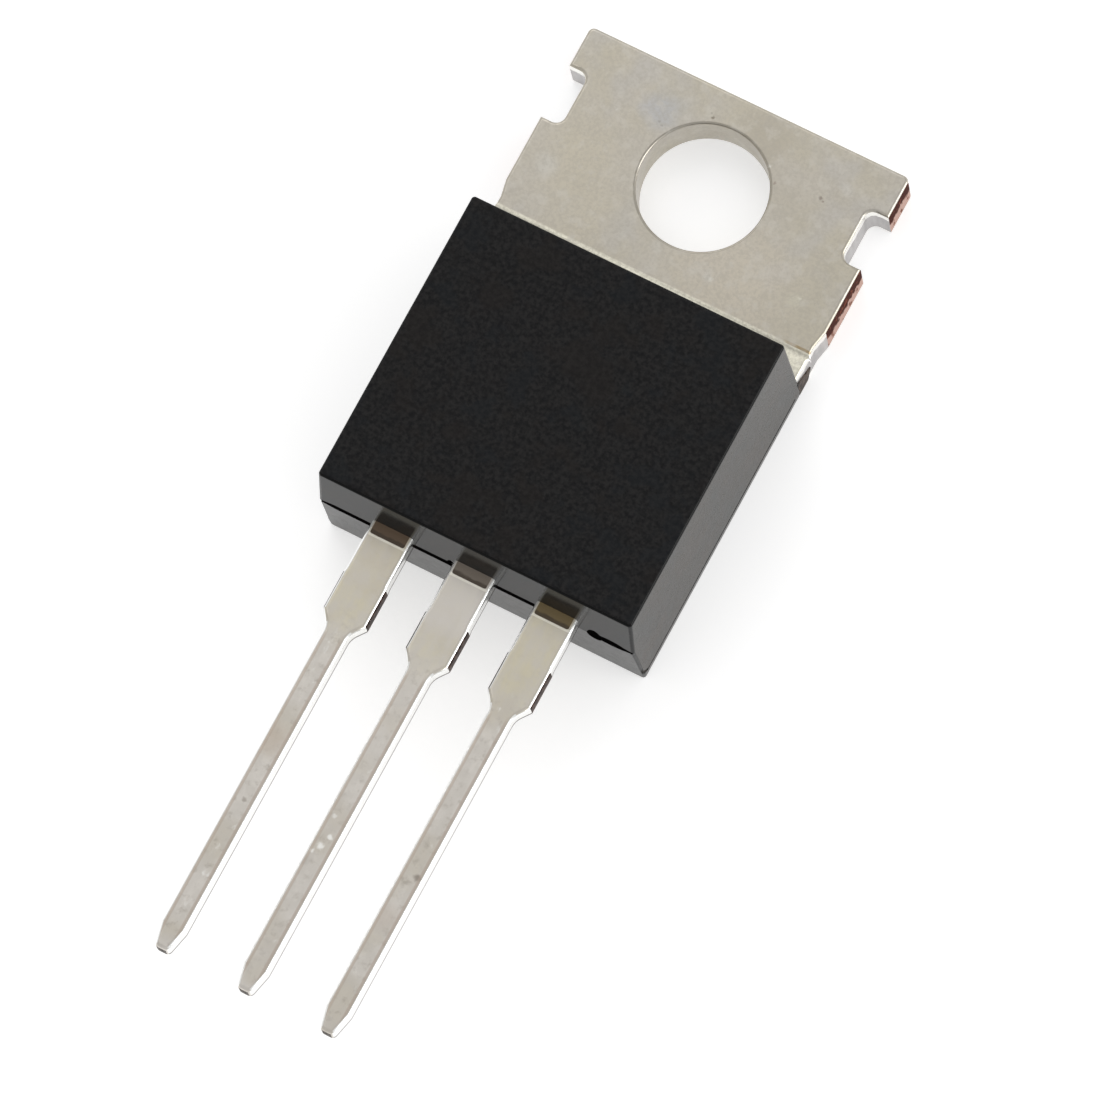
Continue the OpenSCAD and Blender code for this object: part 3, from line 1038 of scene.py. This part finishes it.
# bare cut copper on the stub sides; also given to the leads' rounded under rims as painted shade
def cutLeadAndRimShade():
    tree, shader, finish = newFinish("cutLeadAndRimShade", copper["stubLow"], 0.5, 0.0, 0.15)
    ragged = cloudy(tree, where(tree, (1, 0.7, 0.5)), 0.1, 4, 0.6)
    height, start = raggedHeight(tree, ragged, 0.16), leadUnder + copper["stubHighFrom"]
    high = mixed(tree, between(tree, ragged, 0.35, 0.7), *copper["stubHigh"])
    share = between(tree, height, start, start + 0.08)
    give(tree, shader.inputs["Base Color"], mixed(tree, share, copper["stubLow"], high))
    relief(tree, shader, ragged, 0.01)
    return finish


def cutTip():
    tree, shader, finish = newFinish("cutTip", copper["tip"][0], 0.5, 0.0, 0.1)
    ragged = cloudy(tree, where(tree, (1, 1, 0.4)), 0.08, 4, 0.6)
    give(tree, shader.inputs["Base Color"],
         mixed(tree, between(tree, ragged, 0.35, 0.65), *copper["tip"]))
    relief(tree, shader, ragged, 0.006)
    return finish


compound = {  # colour, other colour, size of the grain, roughness, gloss, depth of the grain
    "mouldedFront": ((0.002, 0.002, 0.0026), (0.0165, 0.0157, 0.0155), 0.13, 0.55, 0.15, 0.006),
    "mouldedSide": ((0.0205, 0.0165, 0.0125), (0.0325, 0.0275, 0.0215), 0.22, 0.26, 0.142, 0.0012),
    "mouldedEnd": ((0.015, 0.0145, 0.014), (0.023, 0.022, 0.021), 0.16, 0.15, 0.19, 0.0008),
    "mouldedUnder": ((0.013, 0.0125, 0.0115), (0.03, 0.028, 0.025), 0.22, 0.22, 0.1, 0.0012),
    # painted shade: the front rims and the upright corners are laid darker than the faces
    "mouldedRimShade": ((0.001, 0.001, 0.001), (0.003, 0.003, 0.003), 0.15, 0.26, 0.13, 0.0005),
    # painted shade: the parting groove and the voids are laid dull and near black
    "mouldSeamShade": ((0.002, 0.002, 0.002), (0.005, 0.004, 0.004), 0.1, 0.9, 0.0, 0.004),
    "mouldedFoot": ((0.02, 0.014, 0.01), (0.15, 0.12, 0.1), 0.14, 0.5, 0.06, 0.006),
}
compoundTints = {  # times the compound's own colour
    "coolGrain": (0.7, 1.15, 1.35),
    "warmArea": (1.4, 1.08, 0.85),
    "coolArea": (0.65, 1.0, 1.3),
    "areaSize": 1.3,
}


def tinted(colour, tint):
    return [a * b for a, b in zip(colour, compoundTints[tint])]


def mouldedFinish(name):
    dark, pale, size, roughness, gloss, depth = compound[name]
    middle = [(low + high) / 2 for low, high in zip(dark, pale)]
    tree, shader, finish = newFinish(name, dark, roughness, 0.0, gloss)
    grain = cloudy(tree, where(tree), size, 4, 0.65)
    tint = cloudy(tree, where(tree, shift=(5, 2, 8)), size * 2.2, 3)
    drift = cloudy(tree, where(tree, shift=(2, 9, 4)), compoundTints["areaSize"], 3, 0.6)
    colour = mixed(tree, between(tree, grain, 0.32, 0.68), dark, pale)
    colour = clouded(tree, colour, tinted(dark, "coolGrain"), tint, 0.5, 0.7, 0.3)
    colour = clouded(tree, colour, tinted(middle, "warmArea"), drift, 0.52, 0.62, 0.35)
    colour = mixed(tree, between(tree, drift, 0.36, 0.46, 0.35, 0.0), colour,
                   tinted(middle, "coolArea"))
    give(tree, shader.inputs["Base Color"], colour)
    give(tree, shader.inputs["Roughness"],
         between(tree, grain, 0.3, 0.7, roughness * 0.9, roughness * 1.12))
    relief(tree, shader, grain, depth)
    return finish


resin = {  # thin brown resin over the roots, a little different on each lead
    "left": (0.12, 0.075, 0.04),
    "middle": (0.2, 0.165, 0.13),
    "right": (0.17, 0.12, 0.045),
    "edge": (0.04, 0.022, 0.008),
    "edgeWidth": 0.14,
}


def resinFlash():
    tree, shader, finish = newFinish("resinFlash", resin["left"], 0.3, 0.0, 0.5)
    spot, gap = where(tree), lead["pitch"] / 2
    x, y = part(tree, spot, "X"), part(tree, spot, "Y")
    streak = cloudy(tree, where(tree, (0.5, 1, 1)), 0.12, 4)
    ragged = work(tree, "ADD", y, times(tree, streak, 0.12))
    start = exitY - case["flashLength"] + resin["edgeWidth"]
    colour = mixed(tree, between(tree, x, -gap - 0.1, -gap + 0.1), resin["left"], resin["middle"])
    colour = mixed(tree, between(tree, x, gap - 0.1, gap + 0.1), colour, resin["right"])
    colour = mixed(tree, between(tree, ragged, start, start + 0.06, 0.8, 0.0), colour,
                   resin["edge"])
    give(tree, shader.inputs["Base Color"], colour)
    relief(tree, shader, streak, 0.002)
    return finish


hiddenFinishes = {  # colour, other colour, roughness, how metallic, size of the grain
    "polishedSilicon": ((0.1, 0.11, 0.14), (0.22, 0.23, 0.26), 0.15, 0.4, 0.4),
    "dullSolder": ((0.5, 0.5, 0.51), (0.34, 0.34, 0.35), 0.45, 1.0, 0.15),
    "drawnAluminium": ((0.85, 0.86, 0.87), (0.7, 0.71, 0.73), 0.25, 1.0, 0.08),
}


def hiddenFinish(name):
    colour, other, roughness, metallic, size = hiddenFinishes[name]
    tree, shader, finish = newFinish(name, colour, roughness, metallic)
    grain = cloudy(tree, where(tree), size, 4)
    give(tree, shader.inputs["Base Color"],
         mixed(tree, between(tree, grain, 0.3, 0.7), colour, other))
    relief(tree, shader, grain, 0.003)
    return finish


finishes = {
    "platedLead": platedLead(),
    "burnishedSheenSide": burnishedSheenSide(),
    "cutLeadAndRimShade": cutLeadAndRimShade(),
    "cutTip": cutTip(),
    "cutCopper": cutCopper(),
    "platedTab": platedTab(),
    "shearedWall": shearedWall(),
    "resinFlash": resinFlash(),
}
for name in compound:
    finishes[name] = mouldedFinish(name)
for name in hiddenFinishes:
    finishes[name] = hiddenFinish(name)
print("finishes made:", len(finishes))

# Which finish goes where.

def dress(piece, names, choose):  # choose names the finish of each face
    piece.data.materials.clear()
    for name in names:
        piece.data.materials.append(finishes[name])
    for face in piece.data.polygons:
        face.material_index = names.index(choose(face.center, face.normal))


def leadFinish(at, out):
    if out.y < -0.9 and at.y < tipY + 0.05:
        return "cutTip"
    # painted shade: the rounded rims underneath take the dark cut finish, as a thin dark line along
    # the lower edge
    if at.y < exitY and at.z < leadUnder + lead["underRound"] and -0.97 < out.z < -0.05:
        return "cutLeadAndRimShade"
    if at.y > exitY or abs(out.x) < 0.5 or out.z < -0.5:
        return "platedLead"
    inStub = stubStart - lead["stubLength"] < at.y < stubStart
    return "cutLeadAndRimShade" if inStub and abs(out.x) > 0.75 else "burnishedSheenSide"


def tabFinish(at, out):
    if at.y < exitY:
        return leadFinish(at, out)
    if abs(out.x) > 0.95 and abs(at.x) > tab["halfWidth"] - 0.01:
        return "cutCopper"
    outside = abs(at.x) > tab["headerHalf"] + 0.1 or at.y > tab["freeEdge"] - 0.2
    return "shearedWall" if abs(out.z) < 0.3 and outside else "platedTab"


caseMarks = {  # tells the faces of a wall from those of the groove, the voids and the rims
    "frontSlack": 0.01,
    "endOut": 0.005,
    "endIn": 0.004,
    "endDepth": 0.3,
    "endHalf": 4.82,
    "voidReach": 0.45,
    "sideIn": 0.003,
    "sideReach": 0.06,
    "sideStart": 0.15,
    "overLead": 0.05,
}


def caseFinish(at, out):
    inset = at.y - leadEndAt(at.z)  # how far in from the wall at the lead end
    sunk = halfWidthAt(at.z) - abs(at.x)  # and from the wall at the side
    marks = caseMarks
    if at.z > case["height"] - marks["frontSlack"] and out.z > 0.9:
        return "mouldedFront"
    # painted shade: the rounded front rims take the darker rim finish
    if at.z > case["height"] - case["frontRound"] - flush:
        return "mouldedRimShade"
    if inset < -marks["endOut"] or (leadTop < at.z < leadTop + marks["overLead"] and out.z > 0.9):
        return "resinFlash"
    if at.y > case["tabEnd"] + flush:
        return "mouldedFoot"
    onEnd = marks["endIn"] < inset < marks["endDepth"] and abs(at.x) < marks["endHalf"]
    # painted shade: the groove and the voids on the lead end are laid near black
    if onEnd and abs(at.z - leadUnder) < marks["voidReach"]:
        return "mouldSeamShade"
    onSide = sunk > marks["sideIn"] and inset > marks["sideStart"]
    # painted shade: the parting groove along the sides is laid near black
    if onSide and abs(at.z - case["sideParting"]) < marks["sideReach"]:
        return "mouldSeamShade"
    # painted shade: the upright corners take the darker rim finish
    if abs(out.x) > 0.25 and out.y < -0.25:
        return "mouldedRimShade"
    if out.y < -0.7 and at.z < leadUnder:
        return "mouldedUnder"
    return "mouldedEnd" if abs(out.y) > 0.7 else "mouldedSide"


leadNames = ["platedLead", "burnishedSheenSide", "cutLeadAndRimShade", "cutTip"]
dress(heatTab, leadNames + ["cutCopper", "platedTab", "shearedWall"], tabFinish)
for piece in (cathodeLead, gateLead):
    dress(piece, leadNames, leadFinish)
dress(mouldedCase, [*compound, "resinFlash"], caseFinish)
for node, name in inside.items():
    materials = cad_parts[node].data.materials
    materials.clear()
    materials.append(finishes[name])
print("finishes given")

# Into the frame.

bpy.data.objects.remove(leadBlank)
standsFor = [
    (heatTab, "heat_tab", "plated_copper"),
    (cathodeLead, "cathode_lead", "plated_copper"),
    (gateLead, "gate_lead", "plated_copper"),
    (mouldedCase, "moulded_body", "moulding_compound"),
]
for piece, node, slotName in standsFor:
    toFrame(piece)
    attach(piece, "root")
    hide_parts(node)
deselectAll()
print("pieces placed")

# Floor, world and lamps.

studio = {
    "floorSize": 3.0,
    "floorGap": 0.00002,  # just under the object
    "floorColour": (0.75, 0.75, 0.75),
    "floorGlow": 0.5,
    "worldColour": (1.0, 1.0, 1.0),
    "worldStrength": 0.7,
}


def addFloor():
    deselectAll()
    bpy.ops.mesh.primitive_plane_add(size=studio["floorSize"], location=(0, 0, -studio["floorGap"]))
    floor = bpy.context.object
    floor.name = "floor"
    finish = bpy.data.materials.new("paleFloor")
    finish.use_nodes = True
    tree = finish.node_tree
    tree.nodes.clear()
    output = tree.nodes.new("ShaderNodeOutputMaterial")
    seen = tree.nodes.new("ShaderNodeLightPath")
    plain = tree.nodes.new("ShaderNodeBsdfDiffuse")
    plain.inputs["Color"].default_value = (*studio["floorColour"], 1)
    glow = tree.nodes.new("ShaderNodeEmission")
    shownTo = work(tree, "MAXIMUM", seen.outputs["Is Camera Ray"], seen.outputs["Is Glossy Ray"])
    shownTo = work(tree, "MAXIMUM", shownTo, seen.outputs["Is Transmission Ray"])
    tree.links.new(work(tree, "MULTIPLY", shownTo, studio["floorGlow"]), glow.inputs["Strength"])
    both = tree.nodes.new("ShaderNodeAddShader")
    tree.links.new(plain.outputs[0], both.inputs[0])
    tree.links.new(glow.outputs[0], both.inputs[1])
    tree.links.new(both.outputs[0], output.inputs["Surface"])
    floor.data.materials.append(finish)


def addWorld():
    world = bpy.data.worlds.new("studioWorld")
    bpy.context.scene.world = world
    world.use_nodes = True
    tree = world.node_tree
    tree.nodes.clear()
    output = tree.nodes.new("ShaderNodeOutputWorld")
    seen = tree.nodes.new("ShaderNodeLightPath")
    back = tree.nodes.new("ShaderNodeBackground")
    back.inputs["Color"].default_value = (*studio["worldColour"], 1)
    strength = between(tree, seen.outputs["Is Camera Ray"], 0.0, 1.0, studio["worldStrength"], 1.0)
    tree.links.new(strength, back.inputs["Strength"])
    tree.links.new(back.outputs[0], output.inputs["Surface"])


lamps = {  # direction from the object, distance and side in metres, brightness of its face
    "sideSoftbox": ((0.95, 0.22, 0.22), 0.30, 0.17, 4.0),
    "topSoftbox": ((-0.5, 0.6, 0.75), 0.34, 0.22, 1.2),
}


def addLamp(name, toward, distance, side, brightness):
    data = bpy.data.lights.new(name, "AREA")
    data.shape = "SQUARE"
    data.size = side
    data.energy = brightness * math.pi * side * side
    lamp = bpy.data.objects.new(name, data)
    bpy.context.scene.collection.objects.link(lamp)
    middle = (cadBox[0] + cadBox[1]) / 2
    direction = Vector(toward).normalized()
    lamp.location = middle + direction * distance
    lamp.rotation_euler = (-direction).to_track_quat("-Z", "Y").to_euler()
    lamp.visible_camera = False


addFloor()
addWorld()
for name, values in lamps.items():
    addLamp(name, *values)
bpy.context.scene.view_settings.view_transform = "Standard"
print("studio set")
